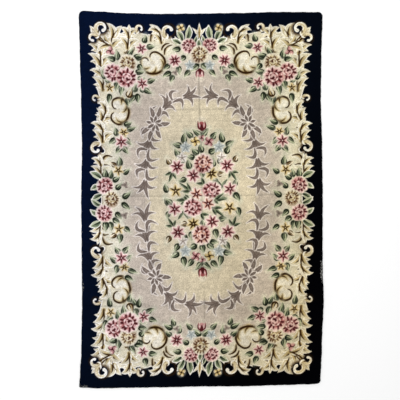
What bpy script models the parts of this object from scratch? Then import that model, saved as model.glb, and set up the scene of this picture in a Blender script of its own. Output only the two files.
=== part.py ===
# A hand-hooked wool rug, lying flat on the floor.
# Metres, +Z up. The origin is on the floor under the middle of the rug's bounding box.
# +X runs to the rug's right edge and +Y to its top edge, seen from above.
import math

import bmesh
import bpy
import numpy as np

# Driving dimensions
RUG_WIDTH = 1.672
RUG_LENGTH = 2.590
RUG_THICKNESS = 0.011  # foundation cloth and the loops that stand on it
HEM_THICKNESS = 0.0045  # the turned-under hem, which is all that there is at the rim
ROLL_WIDTH = 0.009  # the loops rise from the hem to their full height over this width

# The width of the grid's cells away from the rim and the creases
CELL = 0.085
# No grid line of the even spacing lies nearer than this to a crease's own lines
CREASE_CLEARANCE = CELL / 2
# Faces that meet at more than this are shaded with a sharp edge
SHARP_ANGLE = math.radians(35.0)
# Shares of ROLL_WIDTH at which the rounded rim has its rows of points
ROLL_SHARES = (0.0, 0.15, 0.45, 1.0)

# How far the sides stand out from a straight rectangle, pulled by hooking and use.
# Each row: place along the side from its middle, stand-off outwards, both in metres.
TOP_SIDE = (
    (-0.836, 0.020),
    (-0.700, 0.013),
    (-0.490, 0.002),
    (-0.285, -0.003),
    (0.000, -0.001),
    (0.270, 0.003),
    (0.545, 0.010),
    (0.836, 0.009),
)
BOTTOM_SIDE = (
    (-0.836, 0.006),
    (-0.700, 0.011),
    (-0.490, 0.007),
    (-0.285, 0.004),
    (0.000, -0.002),
    (0.270, -0.003),
    (0.545, -0.011),
    (0.754, -0.017),
    (0.836, -0.021),
)
LEFT_SIDE = (
    (-1.295, 0.013),
    (-1.200, 0.008),
    (-1.040, -0.001),
    (-0.695, -0.006),
    (-0.350, -0.003),
    (0.000, 0.000),
    (0.345, -0.005),
    (0.690, 0.001),
    (0.965, 0.009),
    (1.295, 0.017),
)
RIGHT_SIDE = (
    (-1.295, -0.012),
    (-1.040, -0.002),
    (-0.695, 0.011),
    (-0.500, 0.004),
    (-0.350, 0.003),
    (0.000, 0.004),
    (0.345, 0.000),
    (0.690, -0.009),
    (0.965, -0.006),
    (1.295, 0.003),
)
# The worked rim wavers: wave length and height of each ripple, in metres
RIM_RIPPLES = ((0.113, 0.0007), (0.047, 0.0004))
# Radians by which each ripple is shifted for each metre of its wave length
RIPPLE_SHIFT = 40.0
# Where along the ripples each side starts, in metres, so that no two sides waver alike
RIPPLE_STARTS = {"right": 0.0, "left": 0.3, "top": 0.6, "bottom": 0.9}

# Corner radii, by the corner's side in X and in Y
CORNER_RADII = {
    (-1, 1): 0.034,
    (1, 1): 0.030,
    (-1, -1): 0.010,
    (1, -1): 0.028,
}

# Fold creases left by storage, as soft troughs in the pile.
# Each row: place in metres, depth in metres.
CREASES_ALONG = ((0.0, 0.0016),)  # run top to bottom, placed in X
CREASES_ACROSS = ((0.63, 0.0009), (0.03, 0.0009), (-0.73, 0.0011))  # placed in Y
CREASE_HALF_WIDTH = 0.014
# The rows and columns lean clockwise a little, because the cloth was pulled off square
LEAN = 0.016  # metres in X for each metre in Y

YARN_COLOUR = (0.33, 0.29, 0.24, 1.0)
YARN_ROUGHNESS = 0.95


def clear_scene():
    for thing in list(bpy.data.objects):
        bpy.data.objects.remove(thing, do_unlink=True)


def eased(rows, places):
    # The rows' values at these places, with a smooth step from each row to the next
    knots, values = np.array(rows).T
    nearest = np.clip(np.searchsorted(knots, places) - 1, 0, len(knots) - 2)
    share = (places - knots[nearest]) / (knots[nearest + 1] - knots[nearest])
    share = np.clip(share, 0.0, 1.0)
    smooth = share * share * (3.0 - 2.0 * share)
    return values[nearest] + (values[nearest + 1] - values[nearest]) * smooth


def ripple(side, places):
    # The waver of one side's rim, as a sum of sines
    along = places + RIPPLE_STARTS[side]
    total = np.zeros_like(along)
    for wave_length, height in RIM_RIPPLES:
        shift = RIPPLE_SHIFT * wave_length
        total += height * np.sin(2.0 * math.pi * along / wave_length + shift)
    return total


def stations(half_span, creases):
    # Places of the grid's lines: close at the rim and at each crease, even between them
    rim = [half_span - share * ROLL_WIDTH for share in ROLL_SHARES]
    inside = rim[-1]
    count = round(2.0 * inside / CELL)
    even = np.linspace(-inside, inside, count + 1)[1:-1]
    folds = [
        place + step * CREASE_HALF_WIDTH for place, depth in creases for step in (-1.0, 0.0, 1.0)
    ]
    clear = [
        place for place in even if all(abs(place - fold) > CREASE_CLEARANCE for fold in folds)
    ]
    return np.array(sorted([*clear, *folds, *rim, *(-place for place in rim)]))


def rounded_corners(x, y):
    # Draws the square corners in to arcs. Inside a corner's square of one radius, the square
    # is mapped onto a quarter disc; everything outside it stays.
    radius = np.zeros_like(x)
    for (side_x, side_y), value in CORNER_RADII.items():
        radius[(np.sign(x) == side_x) & (np.sign(y) == side_y)] = value
    safe = np.where(radius > 0.0, radius, 1.0)
    a = np.where(radius > 0.0, np.clip((np.abs(x) - RUG_WIDTH / 2 + safe) / safe, 0.0, 1.0), 0.0)
    b = np.where(radius > 0.0, np.clip((np.abs(y) - RUG_LENGTH / 2 + safe) / safe, 0.0, 1.0), 0.0)
    new_a = a * np.sqrt(1.0 - b * b / 2.0)
    new_b = b * np.sqrt(1.0 - a * a / 2.0)
    rim_distance = np.minimum(RUG_WIDTH / 2 - np.abs(x), RUG_LENGTH / 2 - np.abs(y))
    in_corner = (a > 0.0) & (b > 0.0)
    rim_distance = np.where(in_corner, radius * (1.0 - np.hypot(new_a, new_b)), rim_distance)
    x = x + np.sign(x) * (new_a - a) * safe
    y = y + np.sign(y) * (new_b - b) * safe
    return x, y, rim_distance


def pulled_out_of_square(x, y):
    # Moves each side out by its stand-off, fading linearly to nothing at the far side
    u = x / RUG_WIDTH + 0.5
    v = y / RUG_LENGTH + 0.5
    right = eased(RIGHT_SIDE, y) + ripple("right", y)
    left = eased(LEFT_SIDE, y) + ripple("left", y)
    top = eased(TOP_SIDE, x) + ripple("top", x)
    bottom = eased(BOTTOM_SIDE, x) + ripple("bottom", x)
    lean = LEAN * y * 4.0 * u * (1.0 - u)
    return x + u * right - (1.0 - u) * left - lean, y + v * top - (1.0 - v) * bottom


def pile_height(x, y, rim_distance):
    # A quarter-round roll at the rim, flat inside, less the troughs of the creases
    share = np.clip(rim_distance / ROLL_WIDTH, 0.0, 1.0)
    height = HEM_THICKNESS + (RUG_THICKNESS - HEM_THICKNESS) * np.sqrt(1.0 - (1.0 - share) ** 2)
    for places, creases in ((x, CREASES_ALONG), (y, CREASES_ACROSS)):
        for place, depth in creases:
            near = np.clip(1.0 - np.abs(places - place) / CREASE_HALF_WIDTH, 0.0, 1.0)
            height = height - depth * near * share
    return height


def surface():
    # The grid's columns and rows, and where each of its points lies
    columns = stations(RUG_WIDTH / 2, CREASES_ALONG)
    rows = stations(RUG_LENGTH / 2, CREASES_ACROSS)
    flat_x, flat_y = np.meshgrid(columns, rows)
    x, y, rim_distance = rounded_corners(flat_x, flat_y)
    z = pile_height(x, y, rim_distance)
    x, y = pulled_out_of_square(x, y)
    x = x - (x.max() + x.min()) / 2
    y = y - (y.max() + y.min()) / 2
    return x, y, z


def yarn_material():
    material = bpy.data.materials.new("hooked_wool")
    material.use_nodes = True
    shader = material.node_tree.nodes["Principled BSDF"]
    shader.inputs["Base Color"].default_value = YARN_COLOUR
    shader.inputs["Roughness"].default_value = YARN_ROUGHNESS
    shader.inputs["Metallic"].default_value = 0.0
    return material


def rug_mesh():
    # A primitive grid whose points are moved onto the surface, its rim drawn down to the
    # floor and the flat underside closed
    x, y, z = surface()
    row_count, column_count = x.shape
    shell = bmesh.new()
    bmesh.ops.create_grid(
        shell, x_segments=column_count - 1, y_segments=row_count - 1, size=1.0
    )
    shell.verts.ensure_lookup_table()
    for vertex in shell.verts:
        column = round((vertex.co.x + 1.0) / 2.0 * (column_count - 1))
        row = round((vertex.co.y + 1.0) / 2.0 * (row_count - 1))
        vertex.co = (x[row, column], y[row, column], z[row, column])
    rim = [edge for edge in shell.edges if edge.is_boundary]
    drawn = bmesh.ops.extrude_edge_only(shell, edges=rim)["geom"]
    for part in drawn:
        if isinstance(part, bmesh.types.BMVert):
            part.co.z = 0.0
    foot = [edge for edge in shell.edges if edge.is_boundary]
    bmesh.ops.contextual_create(shell, geom=foot)
    bmesh.ops.recalc_face_normals(shell, faces=shell.faces)
    mesh = bpy.data.meshes.new("rug")
    shell.to_mesh(mesh)
    shell.free()
    return mesh


def make_rug(collection):
    mesh = rug_mesh()
    mesh.materials.append(yarn_material())
    mesh.shade_smooth()
    mesh.set_sharp_from_angle(angle=SHARP_ANGLE)
    rug = bpy.data.objects.new("rug", mesh)
    collection.objects.link(rug)
    return rug


def main():
    clear_scene()
    collection = bpy.data.collections.new("hooked_rug")
    bpy.context.scene.collection.children.link(collection)
    make_rug(collection)


main()
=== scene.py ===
import math

import bpy
import numpy as np
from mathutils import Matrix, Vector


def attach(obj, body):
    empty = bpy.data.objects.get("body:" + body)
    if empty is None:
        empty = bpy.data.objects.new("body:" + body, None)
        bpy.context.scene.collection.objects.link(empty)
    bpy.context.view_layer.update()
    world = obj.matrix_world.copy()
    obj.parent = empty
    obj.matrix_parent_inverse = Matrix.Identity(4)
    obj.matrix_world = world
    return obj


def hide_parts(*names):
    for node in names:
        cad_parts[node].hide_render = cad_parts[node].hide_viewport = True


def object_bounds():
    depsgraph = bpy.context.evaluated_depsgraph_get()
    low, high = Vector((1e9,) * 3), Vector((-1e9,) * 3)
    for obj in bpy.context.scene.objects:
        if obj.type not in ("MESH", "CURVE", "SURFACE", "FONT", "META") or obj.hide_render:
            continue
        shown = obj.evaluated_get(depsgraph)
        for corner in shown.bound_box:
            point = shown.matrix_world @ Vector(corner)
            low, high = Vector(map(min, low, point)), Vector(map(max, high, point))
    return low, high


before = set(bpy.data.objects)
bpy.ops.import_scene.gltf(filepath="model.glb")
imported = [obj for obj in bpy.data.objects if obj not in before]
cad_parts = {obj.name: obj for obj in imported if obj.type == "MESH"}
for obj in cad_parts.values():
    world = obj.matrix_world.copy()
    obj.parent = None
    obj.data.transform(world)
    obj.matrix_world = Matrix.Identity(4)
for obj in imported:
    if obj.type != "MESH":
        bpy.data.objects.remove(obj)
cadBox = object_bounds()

# A hand-hooked wool rug on a pale floor, seen from straight above.
# Metres, +Z up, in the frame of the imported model. The pattern alone is in centimetres.

print("camera")
shot = {
    "lens": 50.0,  # mm
    "sensor": 36.0,  # mm
    "across": 2.770,  # metres of floor that the square picture takes in
    "middle": (-0.0086, -0.0031),
}


def makeCamera():
    # Height above the pile = width taken in x lens / sensor
    data = bpy.data.cameras.new("camera")
    data.lens = shot["lens"]
    data.sensor_width = shot["sensor"]
    camera = bpy.data.objects.new("camera", data)
    height = shot["across"] * shot["lens"] / shot["sensor"] + cadBox[1][2]
    camera.location = (*shot["middle"], height)
    bpy.context.scene.collection.objects.link(camera)
    bpy.context.scene.camera = camera


makeCamera()


def fromHex(code):
    # A hex colour as sRGB red, green and blue from 0 to 1
    return np.array([int(code.lstrip("#")[k:k + 2], 16) / 255 for k in (0, 2, 4)])


def linear(value):
    # sRGB values from 0 to 1 as linear light
    return np.where(value <= 0.04045, value / 12.92, ((value + 0.055) / 1.055) ** 2.4)


def rgba(code):
    return (*(float(part) for part in linear(fromHex(code))), 1.0)


def addNode(tree, kind, settings=None, links=None):
    # Adds a node. A setting is the value of a socket or else a property of the node, and a
    # link is the source node and the name of its output.
    node = tree.nodes.new(kind)
    for name, value in (settings or {}).items():
        if not isinstance(name, int) and hasattr(node, name):
            setattr(node, name, value)
        else:
            node.inputs[name].default_value = value
    for name, (source, output) in (links or {}).items():
        tree.links.new(source.outputs[output], node.inputs[name])
    return node


def newMaterial(name):
    material = bpy.data.materials.new(name)
    material.use_nodes = True
    material.node_tree.nodes.clear()
    return material, material.node_tree


def finish(tree, settings, links=None):
    # The shader with these settings and links, and the output
    shader = addNode(tree, "ShaderNodeBsdfPrincipled", settings, links)
    addNode(tree, "ShaderNodeOutputMaterial", None, {"Surface": (shader, "BSDF")})


print("floor and light")
studio = {
    "floorSize": 14.0,
    "floorColour": "#f8f8f8",
    "floorRoughness": 0.9,
    "worldColour": "#ffffff",
    "worldStrength": 0.72,
    "lightHeight": 5.2,
    "lightSize": 4.5,
    "lightPower": 195.0,
    "lightPlace": (-1.6, 1.9),
}


def makeStudio():
    half = studio["floorSize"] / 2
    mesh = bpy.data.meshes.new("floor")
    corners = [(-half, -half, 0), (half, -half, 0), (half, half, 0), (-half, half, 0)]
    mesh.from_pydata(corners, [], [(0, 1, 2, 3)])
    floor = bpy.data.objects.new("floor", mesh)
    bpy.context.scene.collection.objects.link(floor)
    paper, tree = newMaterial("matt_paper_floor")  # pale and even, so that it hardly shows
    finish(tree, {"Base Color": rgba(studio["floorColour"]), "Roughness": studio["floorRoughness"]})
    mesh.materials.append(paper)
    world = bpy.data.worlds.new("studio")
    world.use_nodes = True
    sky = world.node_tree.nodes["Background"]
    sky.inputs["Color"].default_value = rgba(studio["worldColour"])
    sky.inputs["Strength"].default_value = studio["worldStrength"]
    bpy.context.scene.world = world
    data = bpy.data.lights.new("softbox", "AREA")
    data.size = studio["lightSize"]
    data.energy = studio["lightPower"]
    lamp = bpy.data.objects.new("softbox", data)
    lamp.location = (*studio["lightPlace"], studio["lightHeight"])
    lamp.rotation_euler = (-lamp.location).to_track_quat("-Z", "Y").to_euler()
    bpy.context.scene.collection.objects.link(lamp)
    bpy.context.scene.view_settings.view_transform = "Standard"


makeStudio()

# The cloth, with the same sides, corners and creases as the solid that the pile replaces
cloth = {
    "width": 1.672,
    "length": 2.590,
    "thickness": 0.011,  # foundation and loops
    "hemThickness": 0.0045,  # all that there is at the rim
    "rollWidth": 0.009,
    "lean": 0.016,  # metres in X for each metre in Y
    "creaseHalfWidth": 0.014,
    "creasesAlong": [(0.0, 0.0016)],  # place in X, depth
    "creasesAcross": [(0.63, 0.0009), (0.03, 0.0009), (-0.73, 0.0011)],  # place in Y, depth
    "cornerRadii": {(-1, 1): 0.034, (1, 1): 0.030, (-1, -1): 0.010, (1, -1): 0.028},
    # How far each side stands out from a straight rectangle: place along it, stand-off
    "top": [
        (-0.836, 0.020), (-0.700, 0.013), (-0.490, 0.002), (-0.285, -0.003), (0.000, -0.001),
        (0.270, 0.003), (0.545, 0.010), (0.836, 0.009),
    ],
    "bottom": [
        (-0.836, 0.006), (-0.700, 0.011), (-0.490, 0.007), (-0.285, 0.004), (0.000, -0.002),
        (0.270, -0.003), (0.545, -0.011), (0.754, -0.017), (0.836, -0.021),
    ],
    "left": [
        (-1.295, 0.013), (-1.200, 0.008), (-1.040, -0.001), (-0.695, -0.006), (-0.350, -0.003),
        (0.000, 0.000), (0.345, -0.005), (0.690, 0.001), (0.965, 0.009), (1.295, 0.017),
    ],
    "right": [
        (-1.295, -0.012), (-1.040, -0.002), (-0.695, 0.011), (-0.500, 0.004), (-0.350, 0.003),
        (0.000, 0.004), (0.345, 0.000), (0.690, -0.009), (0.965, -0.006), (1.295, 0.003),
    ],
    "ripples": [(0.113, 0.0007), (0.047, 0.0004)],  # wave length, height
    "rippleShift": 40.0,  # radians for each metre of wave length
    "rippleStarts": {"right": 0.0, "left": 0.3, "top": 0.6, "bottom": 0.9},
}


def standOff(side, places):
    # A smooth step from each row of the side's table to the next, plus the rim's two waves
    knots, values = np.array(cloth[side]).T
    nearest = np.clip(np.searchsorted(knots, places) - 1, 0, len(knots) - 2)
    share = np.clip((places - knots[nearest]) / (knots[nearest + 1] - knots[nearest]), 0, 1)
    smooth = share * share * (3 - 2 * share)
    total = values[nearest] + (values[nearest + 1] - values[nearest]) * smooth
    for waveLength, height in cloth["ripples"]:
        phase = 2 * math.pi * (places + cloth["rippleStarts"][side]) / waveLength
        total = total + height * np.sin(phase + cloth["rippleShift"] * waveLength)
    return total


def roundedCorners(x, y):
    # Inside a corner's square of one radius, the square is mapped onto a quarter disc. Also
    # gives how far each point lies from the rim.
    radius = np.zeros_like(x)
    for (sideX, sideY), value in cloth["cornerRadii"].items():
        radius[(np.sign(x) == sideX) & (np.sign(y) == sideY)] = value
    safe = np.where(radius > 0, radius, 1.0)
    a = np.where(radius > 0, np.clip((np.abs(x) - cloth["width"] / 2 + safe) / safe, 0, 1), 0.0)
    b = np.where(radius > 0, np.clip((np.abs(y) - cloth["length"] / 2 + safe) / safe, 0, 1), 0.0)
    newA = a * np.sqrt(1 - b * b / 2)
    newB = b * np.sqrt(1 - a * a / 2)
    rim = np.minimum(cloth["width"] / 2 - np.abs(x), cloth["length"] / 2 - np.abs(y))
    rim = np.where((a > 0) & (b > 0), radius * (1 - np.hypot(newA, newB)), rim)
    return x + np.sign(x) * (newA - a) * safe, y + np.sign(y) * (newB - b) * safe, rim


def pulledOutOfSquare(x, y):
    # Each side moves out by its stand-off, fading linearly to nothing at the far side, and the
    # columns lean most along the middle
    u = x / cloth["width"] + 0.5
    v = y / cloth["length"] + 0.5
    lean = cloth["lean"] * y * 4 * u * (1 - u)
    newX = x + u * standOff("right", y) - (1 - u) * standOff("left", y) - lean
    newY = y + v * standOff("top", x) - (1 - v) * standOff("bottom", x)
    return newX, newY


def centring():
    # What brings the middle of the pulled rug's box onto the origin, from the frame's own box
    sides = np.linspace(-1, 1, 2001)
    x = np.concatenate([sides, sides, 0 * sides - 1, 0 * sides + 1]) * cloth["width"] / 2
    y = np.concatenate([0 * sides - 1, 0 * sides + 1, sides, sides]) * cloth["length"] / 2
    x, y, rim = roundedCorners(x, y)
    x, y = pulledOutOfSquare(x, y)
    return -(x.max() + x.min()) / 2, -(y.max() + y.min()) / 2


shiftX, shiftY = centring()

print("pattern")
# The pattern is drawn on the straight rug before it is pulled out of square, in centimetres from
# the middle, +x to the right and +y to the top. One stroke lays one yarn: a curve whose width
# changes along it. Every flower, leaf and scroll is such strokes, worked out from its place
# and size. The border's quarters mirror one another and the middle is alike when half turned.
worked = {
    "width": 100 * cloth["width"],
    "length": 100 * cloth["length"],
    "pitch": 0.31,  # from one worked point to the next
    "edge": 0.28,  # how soft a change of yarn is, about one loop
    "wander": 0.28,  # how far off its place a motif is set down
    "sampleGap": 0.35,  # between the samples of a stroke's middle line
}
columnCount = int(round(worked["width"] / worked["pitch"])) + 1
rowCount = int(round(worked["length"] / worked["pitch"])) + 1
acrossX = np.linspace(-worked["width"] / 2, worked["width"] / 2, columnCount)
alongY = np.linspace(-worked["length"] / 2, worked["length"] / 2, rowCount)
gridX, gridY = np.meshgrid(acrossX, alongY)
everywhere = (slice(None), slice(None))

yarns = {
    "navy": "#040e24",
    "black": "#000002",
    "rim": "#f3f0e4",
    "scroll": "#cec7ad",
    "scrollLight": "#dcd8c7",
    "scrollPlain": "#d9d4c2",
    "gold": "#bfae80",
    "tan": "#87703f",
    "brown": "#2c1a07",
    "field": "#b6ab9c",
    "oval": "#c9bea3",
    "taupe": "#63574f",
    "mauve": "#85796f",
    "blush": "#e2dbd2",
    "leafDark": "#161c12",
    "leafMid": "#858f6f",
    "leafGrey": "#4f5b46",
    "leafPale": "#b0b596",
    "mist": "#c3c4ad",
    "cream": "#ddd5c0",
    "pink": "#b98986",
    "pinkPale": "#e6cfc7",
    "pinkMid": "#94504f",
    "burgundy": "#411316",
    "peach": "#d2a188",
    "yellow": "#c4ae74",
    "straw": "#d2c199",
    "sepia": "#6d4f38",
    "umber": "#47291a",
    "blueGrey": "#b3bab5",
    "blueDeep": "#868e8d",
}

# The dark border runs from bluer at the top left to blacker at the bottom right: how much of it
# is the black yarn in the middle, and how much more to the right and top
blackShare = {"middle": 0.5, "right": 0.45, "top": -0.35}
blackMix = blackShare["right"] * gridX / acrossX[-1] + blackShare["top"] * gridY / alongY[-1]
blackMix = np.clip(blackShare["middle"] + blackMix, 0, 1)[..., None]
darkCloth = fromHex(yarns["navy"]) * (1 - blackMix) + fromHex(yarns["black"]) * blackMix
canvas = darkCloth.copy()
flip = np.array([1.0, 1.0])  # which quarter is being drawn
nudge = np.zeros(2)  # how far off its place a motif is set down
handWander = np.random.default_rng(11)
# The middle of the pattern sways off to the right by slope times y and bend times its square
sway = {"slope": 0.015, "bend": -0.000057, "share": 0.0, "ready": 0.0}


def inQuarters(draw, signs=((1, 1), (-1, 1), (1, -1), (-1, -1)), ready=1.0):
    # ready says whether the places hold the sway of the top right quarter already
    sway["share"], sway["ready"] = 1.0, ready
    for sign in signs:
        flip[:] = sign
        draw()
    flip[:] = (1, 1)
    sway["share"] = 0.0


def eachOf(draw, rows):
    # Draws a table's rows, each set down a little off its place, as a hand does
    for row in rows:
        nudge[:] = handWander.normal(0, worked["wander"], 2)
        draw(*row)
    nudge[:] = 0


def windowOf(low, high):
    # The rows and columns of the canvas between two corners
    left, right = np.searchsorted(acrossX, (low[0], high[0]))
    bottom, top = np.searchsorted(alongY, (low[1], high[1]))
    return slice(bottom, top), slice(left, right)


def smoothLine(points):
    # A Catmull-Rom curve through the points, and each sample's share of the way along it
    if len(points) == 1:
        return points, np.zeros(1)
    reach = np.hypot(*np.diff(points, axis=0).T).sum()
    count = int(max(3, math.ceil(reach / worked["sampleGap"]))) + 1
    padded = np.vstack([2 * points[0] - points[1], points, 2 * points[-1] - points[-2]])
    place = np.linspace(0, len(points) - 1, count)
    first = np.minimum(place.astype(int), len(points) - 2)
    t = (place - first)[:, None]
    a, b, c, d = (padded[first + k] for k in range(4))
    line = 2 * b + (c - a) * t + (2 * a - 5 * b + 4 * c - d) * t ** 2
    line = (line + (3 * b - a - 3 * c + d) * t ** 3) / 2
    return line, place / (len(points) - 1)


def swayAt(y):
    # How far the middle of the pattern runs off to the right: a quadratic in y
    return sway["slope"] * y + sway["bend"] * y ** 2


def gapTo(points, widths, margin):
    # How far each worked point lies outside a stroke: the least, over the samples of its
    # middle line, of the distance to the sample less half the width there. The sway moves the
    # line across, fading out towards the sides with the square of x.
    line, share = smoothLine(np.asarray(points, float).reshape(-1, 2) * flip + nudge)
    across = swayAt(line[:, 1]) - sway["ready"] * flip[0] * swayAt(np.abs(line[:, 1]))
    line[:, 0] += sway["share"] * across * (1 - (line[:, 0] / acrossX[-1]) ** 2)
    widths = np.atleast_1d(np.asarray(widths, float))
    half = np.interp(share, np.linspace(0, 1, len(widths)), widths) / 2
    window = windowOf(line.min(0) - half.max() - margin, line.max(0) + half.max() + margin)
    x, y = gridX[window], gridY[window]
    gap = np.full(x.shape, 99.0)
    for (lineX, lineY), reach in zip(line, half):
        gap = np.minimum(gap, np.hypot(x - lineX, y - lineY) - reach)
    return window, gap


def lay(window, gap, yarn, soft, strength):
    # The yarn covers where the gap is below nothing, easing off over the width soft
    colour = darkCloth[window] if yarn == "navy" else fromHex(yarns[yarn])
    cover = np.clip(0.5 - gap / soft, 0, 1)
    cover = cover * cover * (3 - 2 * cover) * strength
    canvas[window] += (colour - canvas[window]) * cover[..., None]


def stroke(points, widths, yarn, soft=worked["edge"], strength=1.0):
    lay(*gapTo(points, widths, soft), yarn, soft, strength)


def turned(centre, radius, angle):
    # The point at this radius and angle from the centre, or a row of them as x and y
    angle = np.radians(angle)
    return np.array([centre[0] + radius * np.cos(angle), centre[1] + radius * np.sin(angle)])


def arc(centre, radius, start, end, count=7):
    return turned(centre, radius, np.linspace(start, end, count)).T


def spoke(centre, radius, angle, reach, widths, yarn, soft, strength=1.0):
    # A stroke straight out from a flower's middle, or one round spot. Its reach and its widths
    # are against the flower's radius.
    line = turned(centre, radius * np.atleast_1d(reach), angle).T
    stroke(line, np.array(widths) * radius, yarn, soft, strength)


def beside(base, tip, width, places):
    # Points given as (share of the way from base to tip, half widths to the left of it)
    base, tip = np.asarray(base, float), np.asarray(tip, float)
    way = tip - base
    left = np.array([-way[1], way[0]]) / np.hypot(*way) * width / 2
    return [base + way * share + left * out for share, out in places]


def bow(root, tip, bend, start=0.0, end=1.0):
    # An arc from root to tip whose middle stands off to the left by bend times its length, or
    # the stretch of it between two shares
    way = np.hypot(*(np.asarray(tip, float) - root))
    shares = np.linspace(start, end, 6)
    return beside(root, tip, 2 * bend * way, [(share, 4 * share * (1 - share)) for share in shares])


def strokesBeside(base, tip, width, rows, look=None):
    # A motif's strokes, the lowest first. Each row: points as beside() takes them, widths against
    # the motif's width, cm added to them, yarn or its name in the look, softness, strength. A
    # negative width mirrors the points.
    for places, shares, added, yarn, soft, strength in rows:
        widths = np.array(shares) * abs(width) + np.array(added)
        stroke(beside(base, tip, width, places), widths, (look or {}).get(yarn, yarn), soft, strength)


def roundedBox(halfX, halfY, radius):
    # The distance outside a rectangle with rounded corners
    x = np.abs(gridX) - halfX + radius
    y = np.abs(gridY) - halfY + radius
    return np.hypot(np.maximum(x, 0), np.maximum(y, 0)) + np.minimum(np.maximum(x, y), 0) - radius


def squareOval(halfX, halfY, power):
    # About the distance outside an oval that is squarer the higher its power
    reach = np.abs(gridX / halfX) ** power + np.abs(gridY / halfY) ** power
    return (reach ** (1 / power) - 1) * halfX


# The scroll band: a cream ground whose edge is bitten into, under a fringe of acanthus leaves
scrollBand = {
    "halfWide": 72.8,
    "halfLong": 117.4,
    "corner": 9.0,
    "toothDepth": 2.6,
    "toothLength": 8.6,
    "bayShade": 1.7,  # of the brown shading round a bay, against the bay's size
    # Bites in the ground, top right quarter: from, to, widths
    "bays": [
        ((77.0, 93.0), (73.2, 92.4), (5.0, 0.6)), ((76.0, 72.8), (71.6, 71.8), (2.6, 0.8)),
        ((75.6, 64.4), (68.6, 64.8), (4.6, 1.6)), ((76.0, 58.6), (74.0, 58.6), (2.8, 0.8)),
        ((78.0, 52.4), (74.2, 52.6), (3.8, 0.6)), ((78.0, 46.4), (74.4, 46.8), (3.0, 0.6)),
        ((73.0, 36.2), (69.2, 33.6), (5.2, 2.6)), ((78.0, 26.6), (74.6, 26.4), (3.4, 0.6)),
        ((77.0, 12.6), (73.6, 12.8), (3.8, 1.0)), ((77.0, 4.0), (74.8, 4.2), (3.0, 1.0)),
        ((74.6, 108.6), (70.8, 108.0), (3.6, 1.6)), ((66.6, 119.4), (66.4, 114.6), (4.6, 2.6)),
        ((54.4, 121.0), (53.6, 117.0), (3.6, 1.0)), ((47.4, 121.0), (47.2, 117.4), (3.0, 0.6)),
        ((38.4, 120.5), (35.0, 116.6), (6.5, 3.2)), ((19.6, 116.6), (18.6, 110.8), (3.8, 1.0)),
        ((4.6, 118.0), (2.8, 111.0), (4.4, 1.0)), ((11.4, 120.0), (10.8, 115.6), (3.0, 1.0)),
        ((24.8, 121.0), (24.8, 117.6), (3.4, 1.2)),
        ((0.0, 119.0), (12.0, 118.6), (19.0, 15.0)), ((0.0, 112.0), (0.0, 107.0), (9.0, 3.6)),
        ((80.0, 0.0), (77.4, 0.0), (21.0, 8.0)),
    ],
}
bandGap = np.zeros((rowCount, columnCount))


def leafTeeth():
    # Teeth along the band's edge that lean to the corners: the depth times the share left
    # to the next point, to a power under 1
    wide, long = np.abs(gridX), np.abs(gridY)
    run = np.where(wide - scrollBand["halfWide"] > long - scrollBand["halfLong"], long, wide)
    return scrollBand["toothDepth"] * (1 - np.mod(run / scrollBand["toothLength"], 1)) ** 0.6


def biteBays():
    for start, end, widths in scrollBand["bays"]:
        window, gap = gapTo([start, end], widths, 6.0)
        bandGap[window] = np.maximum(bandGap[window], -gap)


def shadeBays():
    for start, end, widths in scrollBand["bays"]:
        stroke([start, end], np.array(widths) + scrollBand["bayShade"], "brown", 2.6, 0.5)


grounds = {
    "lineMiddle": 0.4,  # how far inside the band's edge its pale line runs
    "lineHalf": 0.35,
    # Rounded boxes inside the band: half width, half length, corner, yarn, softness, strength
    "boxes": [(61, 101, 34, "scrollLight", 9, 0.55), (56, 96, 34, "field", 14, 1.0)],
    "oval": (37.5, 70.5, 2.4),  # half width, half length, power
    "ovalSoft": 5,
}


def drawGrounds():
    # Cream inside the band's edge, brown round the bays, the dark border again with a pale
    # line along its edge, then the grey field and the cream oval
    bandGap[:] = roundedBox(scrollBand["halfWide"], scrollBand["halfLong"], scrollBand["corner"])
    bandGap[:] += leafTeeth()
    inQuarters(biteBays)
    lay(everywhere, bandGap, "scroll", worked["edge"], 1.0)
    inQuarters(shadeBays)
    lay(everywhere, -bandGap, "navy", worked["edge"], 1.0)
    line = np.abs(bandGap + grounds["lineMiddle"]) - grounds["lineHalf"]
    lay(everywhere, line, "rim", worked["edge"], 0.9)
    for halfX, halfY, corner, *yarn in grounds["boxes"]:
        lay(everywhere, roundedBox(halfX, halfY, corner), *yarn)
    lay(everywhere, squareOval(*grounds["oval"]), "oval", grounds["ovalSoft"], 1.0)


lobeLook = {
    "along": (0.04, 0.5),  # where on the rib the first and the last lobe grow
    "widths": (0.45, 0.95, 1.0, 0.56, 0.04),  # along a lobe, against its greatest width
    "greatest": (0.29, 0.3),  # that width against the plume's length, and how much less at the tip
    "reach": (0.60, 0.20),  # a lobe's length against the plume's, and how much less at the tip
    "spread": 50,  # degrees between a lobe and its rib
    "second": (24, 0.66, 0.62),  # a lobe's lower point: degrees further, length and width against it
    "bend": 0.22,
    "rim": 0.95,  # width of the pale outline, both sides together
    # Shading: bend against the lobe's, how far up, widths against its own, yarn, softness, strength
    "shading": [
        (0.6, 0.78, (0.5, 0.44, 0.06), "gold", 1.0, 0.8),
        (0.8, 0.5, (0.46, 0.3, 0.08), "tan", 1.1, 0.7),
    ],
    "vein": (1.1, 0.95, 0.1),
    "rib": (0.6, 1.1, 0.9, 0.25),
}


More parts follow.
